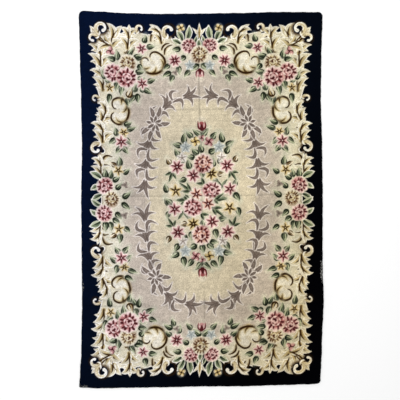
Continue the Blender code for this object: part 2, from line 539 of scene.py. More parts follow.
def drawLobe(root, tip, bend, width):
    # A flame: pale outline, cream, gold inside its bend, and a brown vein part of the way up
    widths = np.array(lobeLook["widths"]) * width
    stroke(bow(root, tip, bend), widths, "rim")
    stroke(bow(root, tip, bend), np.maximum(widths - lobeLook["rim"], 0.05), "scroll", 0.5)
    for lean, end, shares, *yarn in lobeLook["shading"]:
        stroke(bow(root, tip, lean * bend, 0.0, end), np.array(shares) * width, *yarn)
    stroke(bow(root, tip, bend, 0.0, 0.68), lobeLook["vein"], "brown", 0.4, 0.95)


def drawPlume(root, tip, bend, left, right):
    # A rib with two-pointed lobes on both sides, drawn from its tip down so that lower lobes
    # overlap the higher
    length = np.hypot(*(np.asarray(tip, float) - root))
    lobes = [(share, 1) for share in np.linspace(*lobeLook["along"], left)]
    lobes += [(share, -1) for share in np.linspace(*lobeLook["along"], right)]
    greatest, narrower = lobeLook["greatest"]
    most, less = lobeLook["reach"]
    further, shorter, slimmer = lobeLook["second"]
    spine = bow(root, tip, bend, 0.36, 1.0)
    drawLobe(spine[0], spine[-1], 0.5 * bend, greatest * length)
    for share, side in sorted(lobes, reverse=True):
        start, ahead = bow(root, tip, bend, share, share + 0.05)[::5]
        heading = math.degrees(math.atan2(*(ahead - start)[::-1])) + side * lobeLook["spread"]
        reach = length * (most - less * share)
        width = greatest * length * (1 - narrower * share)
        lower = turned(start, shorter * reach, heading + side * further)
        drawLobe(start, lower, -side * lobeLook["bend"], slimmer * width)
        drawLobe(start, turned(start, reach, heading), -side * lobeLook["bend"], width)
    stroke(bow(root, tip, bend, 0.0, 0.8), lobeLook["rib"], "brown", 0.45, 0.95)


# The plumes, top right quarter: root, tip, bend, lobes to the left and to the right
plumes = [
    ((69.0, 91.0), (70.6, 110.6), 0.05, 2, 2), ((68.4, 74.6), (72.6, 93.0), 0.12, 2, 2),
    ((70.2, 53.4), (66.8, 69.6), 0.10, 1, 2), ((69.0, 38.8), (72.6, 56.0), 0.10, 1, 2),
    ((70.2, 15.6), (72.2, 31.2), 0.04, 1, 2), ((63.4, 102.4), (54.6, 120.6), -0.12, 1, 2),
    ((50.8, 104.4), (49.2, 121.4), 0.02, 2, 2), ((27.4, 108.6), (35.2, 121.6), 0.18, 1, 2),
    ((61.6, 105.8), (75.8, 116.6), -0.08, 2, 1), ((66.2, 109.0), (75.8, 119.2), 0.0, 0, 0),
]

# Rolled ends, top right quarter: middle, radius, where the band starts, degrees turned
volutes = [
    ((68.0, 118.0), 4.7, -50, 285), ((74.2, 111.4), 3.6, 150, -235), ((73.8, 69.6), 2.7, 165, -240),
    ((73.4, 35.4), 4.1, 115, -265), ((41.4, 119.0), 3.0, -50, 265), ((22.2, 117.0), 4.8, -60, 215),
]

voluteLook = {  # against the radius, unless in cm
    "reach": (0.94, 0.40),  # of the band's middle line, from its foot to its end
    "widths": (0.9, 0.62, 0.5, 0.42, 0.34, 0.5),
    "shade": 2.2,
    "eye": 1.6,
    "rim": 1.4,  # cm, width of the pale outline, both sides together
    "side": 0.24,  # how far outside the middle line the tan runs
    "foot": (0.7, 0.62),  # reach of the brown line inside the band's first turn
}


def drawVolute(centre, radius, start, sweep):
    # A dark eye, and round it a band whose radius falls as it turns and that swells at its end
    angles = start + sweep * np.linspace(0, 1, 12)
    reach = radius * np.linspace(*voluteLook["reach"], 12)
    band = turned(centre, reach, angles).T
    widths = np.array(voluteLook["widths"]) * radius
    stroke([centre], voluteLook["shade"] * radius, "brown", 2.0, 0.7)
    stroke([centre], voluteLook["eye"] * radius, "navy", 0.6)
    stroke(band, widths, "rim")
    stroke(band, np.maximum(widths - voluteLook["rim"], 0.05), "scrollLight", 0.7)
    inner = turned(centre, 0.94 * reach, angles).T
    stroke(inner[:7], np.maximum(0.42 * widths[:3], 0.3), "gold", 1.1, 0.8)
    side = turned(centre, reach + voluteLook["side"] * radius, angles).T
    stroke(side[:5], (0.9, 0.5, 0.1), "tan", 0.9, 0.7)
    foot = turned(centre, radius * np.array(voluteLook["foot"]), start + sweep * np.array((0, 0.4))).T
    stroke(foot, (1.1, 0.8, 0.1), "brown", 0.6, 0.8)


# Rolled leaves inside the band, top right quarter: root, tip, bend, width
innerRolls = [
    ((51.4, 108.8), (44.4, 110.2), -0.36, 3.4), ((51.6, 108.8), (57.6, 111.0), 0.34, 3.4),
    ((52.6, 101.6), (46.0, 107.0), 0.34, 3.2), ((67.0, 95.6), (62.8, 105.8), -0.26, 3.0),
    ((71.0, 86.6), (66.6, 93.2), 0.36, 3.0), ((67.6, 79.8), (70.4, 86.0), -0.28, 2.6),
    ((70.8, 44.6), (66.2, 53.8), -0.34, 3.2), ((69.4, 44.4), (66.4, 49.2), -0.28, 2.8),
    ((69.6, 25.6), (62.8, 30.0), -0.34, 3.4), ((70.6, 19.4), (64.8, 23.2), -0.34, 2.8),
    ((34.6, 110.4), (26.8, 116.4), -0.36, 3.2), ((32.0, 111.4), (26.6, 114.2), -0.30, 2.4),
    ((25.2, 101.2), (20.2, 107.4), -0.26, 3.0), ((26.6, 104.4), (21.4, 108.6), -0.20, 2.4),
    ((58.6, 100.6), (60.6, 106.6), 0.20, 3.0), ((50.8, 97.4), (49.8, 104.4), -0.16, 2.8),
]


def drawInnerRoll(root, tip, bend, width):
    # A cream lobe rolled over: shaded tan inside its bend, with a brown line along its back
    stroke(bow(root, tip, 0.4 * bend), np.array((0.5, 1.0, 0.8)) * width, "scrollLight", 1.0, 0.85)
    stroke(bow(root, tip, 0.75 * bend), np.array((0.5, 0.6, 0.1)) * width, "tan", 1.6, 0.65)
    stroke(bow(root, tip, bend), (0.8, 1.4, 1.2, 0.6), "brown", 0.45, 0.95)


# The kidney-shaped scrolls, top right quarter
kidneys = [
    {"centre": (57.4, 61.4), "reach": (6.8, 9.2), "notch": 4, "gaps": (58, 50), "curls": (0.38, 0.34),
     "turns": (152, 122), "folds": [(104, 1.0, 114, 0.54), (148, 1.0, 192, 0.28), (232, 0.98, 300, 0.58)]},
    {"centre": (33.3, 95.4), "reach": (8.5, 7.7), "notch": 60, "gaps": (50, 50), "curls": (0.42, 0.32),
     "turns": (115, 155), "folds": [(262, 0.98, 240, 0.46), (209, 0.98, 174, 0.44), (148, 0.96, 92, 0.70)]},
]


def onKidney(kidney, places):
    # Places on the unit circle's plane, turned so that 1 is the notch, stretched and set down
    places = places * np.exp(1j * math.radians(kidney["notch"]))
    return np.stack([places.real, places.imag], -1) * kidney["reach"] + kidney["centre"]


def kidneyLine(kidney):
    # The unit circle from one side of the notch to the other, and at each end a turn in on a
    # smaller circle that touches it inside
    def circle(start, end, count):
        return np.exp(1j * np.radians(np.linspace(start, end, count)))
    (left, right), (first, last), (one, other) = kidney["gaps"], kidney["curls"], kidney["turns"]
    start = (1 - first) * circle(left, left, 1) + first * circle(left - one, left, 8)
    end = (1 - last) * circle(-right, -right, 1) + last * circle(-right, other - right, 8)
    return onKidney(kidney, np.concatenate([start[:-1], circle(left, 360 - right, 17), end[1:]]))


kidneyLook = {
    "middle": (0.54, 0.4968),  # where the body's gold stroke and its pale one run, against the line
    "width": (0.86, 0.74),  # of the two, against the kidney's radius
    # A fold's strokes: widths in cm, yarn, softness, strength
    "folds": [
        ((4.0, 3.4, 2.4, 0.6), "gold", 2.2, 0.6), ((2.4, 1.7, 1.0, 0.2), "tan", 1.3, 0.65),
        ((1.5, 1.1, 0.6, 0.15), "brown", 0.5, 0.9),
    ],
    "shade": (1.0, 2.2, 2.8, 2.2, 1.0),  # inside the line
    "line": (0.7, 1.2, 1.4, 1.5, 1.5, 1.5, 1.4, 1.2, 0.7),
}


def drawKidney(kidney):
    # A pale body inside a brown line, with gold along its back, and folds that leave the line
    # aslant and sweep in across it, each an arc whose reach falls as it turns
    left, right = kidney["gaps"]
    body = np.exp(1j * np.radians(np.linspace(left, 360 - right, 11)))
    golden, pale = np.array(kidneyLook["width"]) * sum(kidney["reach"]) / 2
    stroke(onKidney(kidney, kidneyLook["middle"][0] * body), golden, "gold", 0.8, 0.9)
    stroke(onKidney(kidney, kidneyLook["middle"][1] * body), pale, "scrollPlain", 1.6)
    for start, near, end, far in kidney["folds"]:
        angles = np.radians(np.linspace(start, end, 6))
        fold = onKidney(kidney, np.linspace(near, far, 6) * np.exp(1j * angles))
        for widths, yarn, *finish in kidneyLook["folds"]:
            stroke(fold[:5] if yarn == "brown" else fold, widths, yarn, *finish)
    line = kidneyLine(kidney)
    stroke(line[9:-9], kidneyLook["shade"], "tan", 1.8, 0.5)
    stroke(line, kidneyLook["line"], "brown", 0.4, 0.97)


# Which yarns a leaf is worked in
leafLooks = {
    "green": {"pale": "leafPale", "body": "leafMid", "heart": "leafGrey", "line": "leafDark"},
    "olive": {"pale": "cream", "body": "straw", "heart": "tan", "line": "brown"},
}
straight = [(0, 0), (1, 0)]  # from base to tip
leafShape = (0.5, 0.96, 0.84, 0.46, 0.08)  # widths along a leaf, against its own
# Every table of rows from here to the tulip holds strokes as strokesBeside() takes them
leafRows = [
    (straight, (0.9, 1.0, 0.6), 2.0, "mist", 2.4, 0.45),
    (straight, leafShape, 0.8, "cream", 0.7, 0.7),
    (straight, leafShape, 0, "body", 0.4, 0.95),
    ([(0.12, 0.55), (0.6, 0.36)], (0.26, 0.3, 0.1), 0, "heart", 0.6, 0.5),
    ([(0.25, -0.3), (0.95, -0.02)], (0.25, 0.42, 0.12), 0, "pale", 0.6, 0.9),
    ([(0.9, 0.2), (0.64, 0.7), (0.34, 0.98), (0.1, 0.72), (0, 0), (0.1, -0.72), (0.34, -0.96), (0.6, -0.7)],
     0, (0.15, 0.9, 1.25, 1.4, 1.2, 0.95, 0.75, 0.15), "line", 0.35, 0.95),
    ([(0.02, 0), (0.4, 0.12), (0.74, 0.04)], 0, (0.85, 0.7, 0.1), "line", 0.35, 0.92),
]


def leaf(base, tip, width, look="green"):
    # A round body drawn out to a thin point: misty round it with a pale edge, darker on one
    # side than on the other, with a dark line round its foot and up both sides, and a rib
    strokesBeside(base, tip, width, leafRows, leafLooks[look])


greyLeafShape = np.array((0.5, 0.9, 1.0, 0.6, 0.08))
greyLeafRows = [
    ([(0.1, -0.3), (0.45, -0.45), (0.85, -0.1)], (0.24, 0.42, 0.12), 0, "leafPale", 0.5, 1),
    ([(0, 0.3), (0.35, 0.5), (0.7, 0.3)], 0, (1.1, 0.9, 0.1), "leafGrey", 0.5, 0.9),
    ([(0, 0), (0.4, 0.08), (0.78, 0.05)], 0, (1.2, 0.8, 0.1), "leafDark", 0.35, 0.85),
]


def greyLeaf(base, tip, width):
    # A leaf on the dark border: a white edge, a pale half and a greyer one, and a dark rib
    stroke(bow(base, tip, 0.06), greyLeafShape * width + 0.4, "rim")
    stroke(bow(base, tip, 0.06, 0.0, 0.94), np.maximum(greyLeafShape * width - 0.5, 0.1), "leafMid", 0.4)
    strokesBeside(base, tip, width, greyLeafRows)


sprigRows = [
    ([(0, 0), (0.5, 0.5), (1, 0)], (0.9, 2.3, 1.5, 0.2), 0, "leafMid", 0.5, 1),
    ([(0.2, 0.7), (0.6, 1.0), (0.9, 0.3)], (0.5, 0.8, 0.3), 0, "leafGrey", 0.5, 0.9),
    ([(0, 0), (0.45, -0.7), (0.9, -0.4)], (0.9, 1.1, 0.3), 0, "leafDark", 0.45, 0.95),
]


def sprig(base, tips):
    # Dark blades from one point over a misty ground
    for tip in tips:
        stroke([base, tip], (3.0, 3.2, 1.6), "mist", 2.4, 0.6)
    for tip in tips:
        strokesBeside(base, tip, 1.0, sprigRows)


starTones = {  # petal's edge, petal, ray, ray's width
    "pink": ("pinkPale", "pink", "burgundy", 1.2),
    "peach": ("pinkPale", "peach", "burgundy", 1.25),
    "yellow": ("straw", "yellow", "brown", 1.4),
}
starLook = {  # against the radius
    "ground": 2.3,  # the cream round it
    "edge": (1.04, (0.3, 0.60, 0.54, 0.1)),  # reach, widths
    "petal": (0.88, (0.3, 0.42, 0.34, 0.05)),
    "ray": (0.8, 0.9),  # reach of every other ray
    "rayWidths": (0.18, 0.18, 0.12, 0.03),
    "heart": 0.18,
}


def star(centre, radius, rays, turn, look):
    # Pale petals, deeper down their middles, a dark ray down each one, and a pale heart
    edge, petal, ray, wide = starTones[look]
    stroke([centre], starLook["ground"] * radius, "cream", 2.2, 0.5)
    for (reach, widths), yarn in ((starLook["edge"], edge), (starLook["petal"], petal)):
        for k in range(rays):
            spoke(centre, radius, turn + 360 * k / rays + 3, (0.15, reach), widths, yarn, 0.6, 0.85)
    widths = np.array(starLook["rayWidths"]) * wide
    for k in range(rays):
        angle = turn + 360 * k / rays + 5 * (-1) ** k
        spoke(centre, radius, angle, (0.1, starLook["ray"][k % 2]), widths, ray, 0.35, 0.95)
    stroke([centre], starLook["heart"] * radius, edge, 0.4)


roseLook = {  # lengths against the radius, angles in degrees
    "ends": 10,
    "endReach": (0.72, 0.82),
    "nearReach": (0.42, 0.54),  # of the clefts' inner ends
    "farReach": (0.72, 1.0),
    "cleftWidth": (1.7, 2.7),  # shared among the clefts
    "cleftTurn": 8,  # how far a cleft strays from its even place
    "cleftSkew": 12,
    "cleftShape": (0.8, 1.0, 0.12),
    # Petals of the heart: radius, from and to angle, widths, softness, strength
    "palePetal": (0.42, -30, 12, (0.04, 0.17, 0.04), 0.9),
    "deepPetal": (0.31, -8, 36, (0.03, 0.12, 0.03), 0.75),
    "slit": (0.12, 0.26, 0.1),
}


def rose(centre, radius, turn, tones):
    # Scalloped pale ends round a deeper disc, a ring of dark clefts, none quite like the next,
    # with pale spots between them and four thin arcs inside, and a pale heart whose petals turn
    # round a dark slit set off to one side
    outer, pale, mid, deep, count = tones
    stroke([centre], 2 * radius + 0.6, "cream", 0.8, 0.8)
    for k in range(roseLook["ends"]):
        reach = handWander.uniform(*roseLook["endReach"])
        spoke(centre, radius, turn + 360 * k / roseLook["ends"], reach, 0.46, pale, 0.6, 0.95)
    stroke([centre], 1.6 * radius, outer, 1.8, 0.8)
    spoke(centre, radius, turn + 150, 0.26, 1.4, mid, 2.4, 0.6)
    for k in range(count):
        angle = turn + 360 * k / count + roseLook["cleftTurn"] * handWander.uniform(-1, 1)
        near = handWander.uniform(*roseLook["nearReach"])
        far = handWander.uniform(*roseLook["farReach"])
        wide = radius * handWander.uniform(*roseLook["cleftWidth"]) / count
        skew = roseLook["cleftSkew"] * handWander.uniform(-1, 1)
        share = np.array((0, 0.6, 1))
        cleft = turned(centre, radius * (near + (far - near) * share), angle + skew * (share - 0.5)).T
        stroke(cleft, np.array(roseLook["cleftShape"]) * wide, deep, 0.4, 0.92)
        spoke(centre, radius, angle + 180 / count, 0.76, 1.7 / count, pale, 0.6, 0.8)
    for k in range(4):
        around = arc(centre, 0.52 * radius, turn + 90 * k, turn + 90 * k + 62, 5)
        stroke(around, np.array((0.04, 0.11, 0.04)) * radius, deep, 0.4, 0.7)
    stroke([centre], 0.9 * radius, outer, 0.6, 0.9)
    spoke(centre, radius, turn, 0.12, 0.66, pale, 1.4, 0.6)
    for k in range(5):
        angle = turn + 72 * k + handWander.uniform(-10, 10)
        for part, yarn in (("palePetal", pale), ("deepPetal", deep)):
            reach, start, end, widths, strength = roseLook[part]
            petal = arc(centre, reach * radius, angle + start, angle + end, 4)
            stroke(petal, np.array(widths) * radius, yarn, 0.4, strength)
    slit = arc(turned(centre, 0.12 * radius, turn), 0.12 * radius, turn + 30, turn + 190, 4)
    stroke(slit, np.array(roseLook["slit"]) * radius, deep, 0.4)


# Outer yarn, pale, middle and deep ones, and how many clefts
rosy = ("pink", "pinkPale", "pinkMid", "burgundy", 11)
creamy = ("gold", "cream", "sepia", "umber", 14)
warm = ("peach", "pinkPale", "pinkMid", "burgundy", 12)

tulipUnder = [
    (straight, (1.0, 1.3, 1.2), 0, "cream", 1.8, 0.5),
    ([(0.12, 0), (0.62, 0)], (0.6, 1.0, 0.7), 0, "petal", 0.5, 1),
]
tulipSide = [
    ([(0, 0.1), (0.18, 0.66), (0.6, 0.84), (1.04, 0.9)], (0.3, 0.36, 0.26, 0.04), 0, "petal", 0.5, 1),
    ([(-0.04, 0.1), (0.16, 0.86), (0.56, 1.04), (1, 0.98)],
     (0.16, 0.18, 0.14, 0.02), 0, "burgundy", 0.4, 0.9),
    ([(0.24, 0.5), (0.74, 0.62)], (0.06, 0.18, 0.06), 0, "pinkPale", 0.4, 0.85),
]
tulipMiddle = [([(0, 0), (0.36, 0.06), (0.7, 0)], (0.5, 0.32, 0.03), 0, "burgundy", 0.4, 0.9)]


def tulip(base, tip, width, petalYarn="pinkMid"):
    # Two pointed petals that lean apart, dark along their outer edges and with a little light on
    # each, and a short dark one between
    look = {"petal": petalYarn}
    strokesBeside(base, tip, width, tulipUnder, look)
    for side in (-1, 1):
        strokesBeside(base, tip, side * width, tulipSide, look)
    strokesBeside(base, tip, width, tulipMiddle)


def blossom(centre, radius, petals, turn, petal, line):
    # Round petals with a dark line down between each two, and a dark rim to one side of each
    stroke([centre], 2.3 * radius, "mist", 2.0, 0.5)
    for k in range(petals):
        angle = turn + 360 * (k + 0.5) / petals
        spoke(centre, radius, angle, 0.56, 0.94, "cream", 0.4)
        spoke(centre, radius, angle, 0.56, 0.74, petal, 0.5)
        spoke(centre, radius, angle - 12, 0.7, 0.34, "cream", 0.6, 0.8)
        rim = arc(turned(centre, 0.56 * radius, angle), 0.42 * radius, angle + 30, angle + 150)
        stroke(rim, (0.2, 0.22 * radius, 0.2), line, 0.45, 0.85)
    for k in range(petals):
        spoke(centre, radius, turn + 360 * k / petals, (0, 0.72), (0.34, 0.2, 0.06), line, 0.45, 0.95)


def softStar(centre, radius, petal, line):
    # A pale five-petalled flower with thin lines down its petals
    for angle in range(18, 378, 72):
        stroke([centre, turned(centre, radius, angle)], (1.0, 0.8 * radius, 0.6), petal, 0.7, 0.85)
        spoke(centre, radius, angle + 12, 0.75, 0.26, "rim", 0.8, 0.8)
    for angle in range(18, 378, 72):
        stroke([centre, turned(centre, 0.9 * radius, angle)], (0.8, 0.8, 0.2), line, 0.5, 0.9)


# The border's leaves, top right quarter: base, tip, width, and look if not green
borderLeaves = [
    ((43.4, 97.2), (43.4, 102.6), 4.0), ((57.4, 97.0), (58.0, 103.4), 3.6),
    ((59.0, 96.2), (64.4, 97.4), 3.2), ((49.6, 100.2), (46.8, 105.4), 3.0),
    ((46.4, 99.0), (40.2, 100.2), 2.6), ((46.4, 75.3), (45.6, 81.2), 3.6),
    ((54.4, 79.6), (55.6, 71.8), 3.4), ((57.8, 82.2), (59.8, 75.2), 3.8),
    ((63.9, 72.9), (64.8, 66.4), 3.0), ((63.2, 81.0), (67.6, 84.8), 3.2),
    ((46.6, 72.0), (49.8, 66.4), 3.0), ((51.4, 70.6), (50.4, 65.2), 2.6),
    ((44.0, 73.6), (43.2, 67.4), 3.0), ((41.6, 75.8), (38.4, 79.6), 3.0),
    ((43.2, 93.6), (40.2, 90.0), 3.2), ((44.6, 87.8), (38.4, 88.4), 3.2),
    ((39.4, 77.4), (34.0, 74.4), 3.2), ((37.6, 81.8), (31.8, 83.8), 3.0),
    ((53.4, 52.4), (48.0, 54.6), 3.0), ((52.0, 48.4), (45.4, 50.4), 3.0),
    ((59.2, 44.8), (60.4, 50.6), 3.2), ((53.2, 42.4), (49.0, 38.0), 3.0),
    ((59.8, 42.2), (64.6, 38.4), 3.2), ((54.6, 36.2), (50.8, 31.6), 3.2),
    ((57.0, 36.4), (60.6, 31.8), 3.2), ((57.2, 23.6), (57.6, 30.0), 3.6),
    ((53.8, 18.4), (49.6, 21.8), 3.0), ((63.3, 15.4), (62.4, 21.4), 3.2),
    ((67.2, 15.2), (66.9, 21.6), 3.6), ((61.6, 13.0), (57.0, 16.4), 3.2),
    ((59.2, 8.0), (55.4, 12.4), 3.2), ((54.6, 1.8), (49.4, 6.0), 3.4),
    ((70.6, 15.2), (77.6, 18.6), 4.4, "grey"), ((71.0, 10.2), (76.8, 7.0), 3.6, "grey"),
    ((70.0, 3.6), (76.4, -0.6), 3.6, "grey"), ((8.8, 111.8), (7.4, 121.0), 4.4, "grey"),
    ((12.2, 111.2), (16.0, 118.0), 4.0, "grey"), ((4.4, 109.0), (2.6, 114.4), 2.4, "grey"),
    ((14.8, 109.0), (20.4, 111.8), 3.6, "grey"), ((14.8, 105.0), (20.4, 104.6), 3.2),
    ((10.2, 99.6), (14.4, 96.4), 3.0),
    ((16.0, 92.6), (15.4, 86.6), 3.2), ((21.8, 93.6), (25.8, 90.2), 2.8),
    ((19.8, 86.4), (21.4, 81.4), 3.0), ((7.8, 89.4), (11.8, 85.2), 2.9),
    ((2.0, 94.0), (7.0, 89.4), 3.8), ((36.8, 106.4), (31.2, 106.6), 3.2),
    ((39.4, 109.2), (38.0, 114.4), 3.2), ((21.2, 88.4), (27.2, 85.4), 3.0),
    ((44.8, 83.4), (39.4, 85.0), 3.0), ((67.0, 83.0), (69.0, 88.6), 3.0),
    ((51.0, 71.4), (48.6, 77.4), 4.2, "olive"), ((60.2, 22.8), (64.4, 25.6), 2.8, "olive"),
]

# Starry flowers: centre, radius, rays, turn, look
borderStars = [
    ((41.0, 80.6), 4.2, 6, 20, "pink"), ((63.9, 76.9), 3.4, 5, 90, "yellow"),
    ((41.0, 104.9), 4.0, 6, 10, "pink"), ((18.1, 96.6), 4.6, 8, 12, "pink"),
    ((54.3, 46.4), 3.6, 6, 0, "yellow"), ((56.2, 40.2), 4.6, 6, 30, "pink"),
    ((58.0, 19.8), 3.8, 5, 50, "yellow"),
]

# Small round-petalled flowers: centre, radius, petals, turn, petal yarn, line yarn
borderBlossoms = [
    ((62.2, 102.4), 3.4, 3, 20, "pink", "burgundy"), ((13.8, 119.2), 2.8, 4, 70, "yellow", "brown"),
    ((53.4, 10.4), 2.8, 3, 150, "mauve", "taupe"), ((18.2, 89.0), 2.4, 3, 40, "mauve", "taupe"),
]

# Roses: centre, radius, turn, tones
borderRoses = [
    ((60.9, 88.0), 6.6, 20, rosy), ((51.0, 94.4), 6.2, 80, creamy), ((51.4, 84.4), 7.4, 200, rosy),
    ((67.0, 9.2), 6.0, -30, rosy), ((8.6, 106.6), 5.4, 10, rosy),
]


def drawBorder():
    eachOf(leaf, [row for row in borderLeaves if "grey" not in row])
    eachOf(greyLeaf, [row[:3] for row in borderLeaves if "grey" in row])
    eachOf(star, borderStars)
    eachOf(blossom, borderBlossoms)
    softStar((7.8, 93.4), 3.6, "blueGrey", "blueDeep")
    eachOf(rose, borderRoses)


# The lily at the top middle: points, widths, yarn, softness, strength
lilyLobe = [
    ([(0, 113.2), (1.8, 116.4), (5.4, 119.9)], (1.2, 2.3, 0.1), "rim", worked["edge"], 1.0),
    ([(0.3, 113.6), (1.6, 116.4), (3.4, 118.6)], (0.7, 1.3, 0.1), "gold", 0.8, 0.7),
]
lilySpear = [
    ([(0, 112.6), (0, 117.0), (0, 123.0)], (1.2, 3.2, 0.1), "rim", worked["edge"], 1.0),
    ([(0, 112.8), (0, 121.0)], (0.9, 2.0, 0.3), "gold", 0.8, 1.0),
    ([(0, 112.8), (0, 119.0)], (0.8, 1.1, 0.3), "tan", 0.8, 1.0),
]


def drawMidTop():
    # The lily's spear between two lobes that curve away, a leaf, a cream rose and a tulip
    for side in (-1, 1):
        for points, *yarn in lilyLobe:
            stroke(np.array(points) * (side, 1), *yarn)
    for row in lilySpear:
        stroke(*row)
    greyLeaf((0, 105.8), (0, 111.8), 3.4)
    rose((0, 101.0), 6.2, 90, creamy)
    tulip((0, 90.0), (0, 85.0), 5.2, "pink")


def drawMidSide():
    rose((62.2, 0.6), 5.8, 120, creamy)


# The wreath: nodes of flames along an oval path, from a daisy to the top and to the side
quarterTurn = np.radians(np.linspace(0, 90, 181))
wreath = {
    "halfX": 39.4,
    "halfY": 72.4,
    "power": 2.8,
    "quarterLength": 100.0,  # of the path, about
    # Shares of the way from the side to the top
    "daisy": 0.57,
    "daisyRoom": 0.05,  # kept free on both sides of it
    "topEnd": 0.985,
    "sideEnd": 0.04,
    "endRoom": 0.11,  # from an end to the root of its first node
    "between": 7.8,  # from one node to the next
    # At every other node, flames: degrees outwards from the path, length, width, bend to the left
    "fork": [(-8, 12.4, 2.5, 0.10), (26, 11.2, 2.4, -0.16), (62, 8.8, 2.1, -0.30), (-54, 8.4, 2.1, 0.34)],
    "commas": [(-58, 8.2, 2.4, 0.54), (28, 7.8, 2.3, 0.48)],
    "flame": (0.4, 0.9, 1.0, 0.6, 0.05),  # widths along a flame, against its own
    "rootOut": 0.8,  # from the path to a flame's root
    "daisyLeaves": [(-10.8, 0.6), (-4.4, 12.2), (2.6, 11.4), (9.2, -7.6), (4.0, -11.8), (-4.2, -9.8)],
    "leafWidths": (0.8, 2.9, 2.4, 0.3),
    "petals": 8,
    "petalReach": (0.8, 5.6),
    "petalWidths": (0.6, 2.0, 1.9, 0.4),
    "halo": 1.1,
}


def wreathPoint(share):
    # The point this share of the way round the squarish oval's quarter, from the side to the
    # top, by length: cosine and sine to the power 2 / power give the curve itself
    bend = 2 / wreath["power"]
    x = wreath["halfX"] * np.cos(quarterTurn).clip(0) ** bend
    y = wreath["halfY"] * np.sin(quarterTurn) ** bend
    along = np.concatenate([[0], np.cumsum(np.hypot(np.diff(x), np.diff(y)))])
    return np.array([np.interp(share * along[-1], along, part) for part in (x, y)])


def wreathNodes():
    # The nodes in the order that they are drawn: forks and then commas, both from the far ends in
    # to the daisy, and last its leaves and petals. Each node is a list of flames, and each flame
    # its points and widths.
    groups = {"fork": [], "commas": [], "daisy": []}
    for end, hand in ((wreath["topEnd"], 1), (wreath["sideEnd"], -1)):
        start = wreath["daisy"] + wreath["daisyRoom"] * hand
        pairs = abs(end - start) * wreath["quarterLength"] / (2 * wreath["between"])
        shares = np.linspace(end - wreath["endRoom"] * hand, start, 2 * int(round(pairs)))
        for k, share in enumerate(shares):
            place = wreathPoint(share)
            way = wreathPoint(share + 0.02 * hand) - place
            heading = math.degrees(math.atan2(way[1], way[0]))
            kind = "commas" if k % 2 else "fork"
            node = []
            groups[kind].append(node)
            for out, reach, wide, bend in wreath[kind]:
                root = turned(place, wreath["rootOut"], heading - hand * np.sign(out) * 90)
                reach = reach * handWander.uniform(0.9, 1.1)
                tip = turned(root, reach, heading - hand * (out + handWander.uniform(-6, 6)))
                node.append((bow(root, tip, -hand * bend), np.array(wreath["flame"]) * wide))
    daisy = wreathPoint(wreath["daisy"])
    for tip in wreath["daisyLeaves"]:
        leafLine = bow(daisy + np.array(tip) * 0.36, daisy + np.array(tip), 0.08)
        groups["daisy"].append([(leafLine, wreath["leafWidths"])])
    for angle in 15 + np.arange(wreath["petals"]) * 360 / wreath["petals"]:
        petal = [turned(daisy, reach, angle) for reach in wreath["petalReach"]]
        groups["daisy"].append([(petal, wreath["petalWidths"])])
    return [*groups["fork"], *groups["commas"], *groups["daisy"]], daisy


def drawWreath():
    # One node's flames grow together inside a pale edge, each lighter along its middle
    nodes, daisy = wreathNodes()
    for flames in nodes:
        for points, widths in flames:
            stroke(points, np.asarray(widths) + wreath["halo"], "blush", 0.5, 0.8)
        for points, widths in flames:
            stroke(points, widths, "taupe", 0.5, 0.95)
            stroke(points[1:5], np.asarray(widths)[1] * np.array((0.1, 0.45, 0.1)), "mauve", 0.9, 0.8)
    stroke([daisy], 1.2, "blush", 0.6)


# The medallion, upper half; the lower half is the same turned about its middle
medallionMiddle = np.array([0.2, 0.6])
# Its leaves: base, tip, width, and look if not green
medallionLeaves = [
    ((0.6, 44.6), (-5.8, 49.6), 3.4), ((1.2, 44.6), (6.2, 50.0), 3.4),
    ((-5.6, 43.4), (-10.2, 48.0), 3.4), ((7.6, 42.8), (11.2, 47.6), 3.4),
    ((14.6, 40.6), (13.4, 47.6), 3.6), ((-12.2, 39.8), (-11.2, 47.2), 3.6),
    ((17.4, 37.4), (22.8, 40.6), 3.6), ((-14.2, 37.6), (-20.4, 38.6), 3.6),
    ((17.4, 31.6), (20.2, 36.8), 3.4), ((-15.4, 30.8), (-18.6, 36.2), 3.4),
    ((1.0, 32.6), (-0.6, 38.4), 3.6), ((-2.8, 31.6), (-7.2, 36.0), 3.6),
    ((5.4, 32.4), (10.8, 34.8), 3.6), ((-5.0, 29.8), (-10.4, 30.4), 3.2),
    ((-8.2, 21.6), (-9.4, 28.2), 3.6), ((8.4, 23.6), (8.2, 29.8), 3.2),
    ((-21.8, 25.8), (-24.4, 30.0), 3.2, "olive"), ((23.0, 26.2), (25.4, 30.6), 3.2, "olive"),
    ((0.4, 20.0), (0.2, 14.8), 3.2), ((11.2, 17.2), (16.0, 17.8), 3.2, "olive"),
    ((-11.0, 15.2), (-16.4, 14.0), 3.2), ((-24.2, 6.8), (-25.4, 12.8), 3.4),
    ((23.6, 9.2), (24.6, 14.0), 3.0), ((21.4, 4.4), (26.0, 0.2), 3.4),
    ((-22.4, -3.2), (-26.0, 2.8), 3.4), ((13.0, 25.4), (12.0, 30.2), 3.0),
    ((-12.4, 26.2), (-15.6, 31.4), 2.8), ((10.8, 12.6), (7.2, 14.6), 2.6),
]
medallionSprigs = [  # base, tips
    ((-20.2, 19.4), [(-25.4, 17.4), (-22.8, 12.2), (-17.6, 14.4)]),
    ((20.4, 19.6), [(25.8, 18.6), (19.0, 15.0), (24.2, 13.4)]),
    ((-7.0, 6.0), [(-15.8, 13.0), (-10.2, 12.4), (-14.6, 6.6)]),
    ((13.4, 8.4), [(11.0, 13.4), (17.4, 14.6)]),
    ((-8.8, 1.2), [(-17.4, 0.6), (-14.8, -3.2), (-11.4, 3.8)]),
    ((10.4, 1.2), [(15.6, 4.4), (18.2, 1.0), (12.6, -1.6)]),
    ((1.6, 11.0), [(-4.2, 11.4), (-0.4, 15.0)]),
]
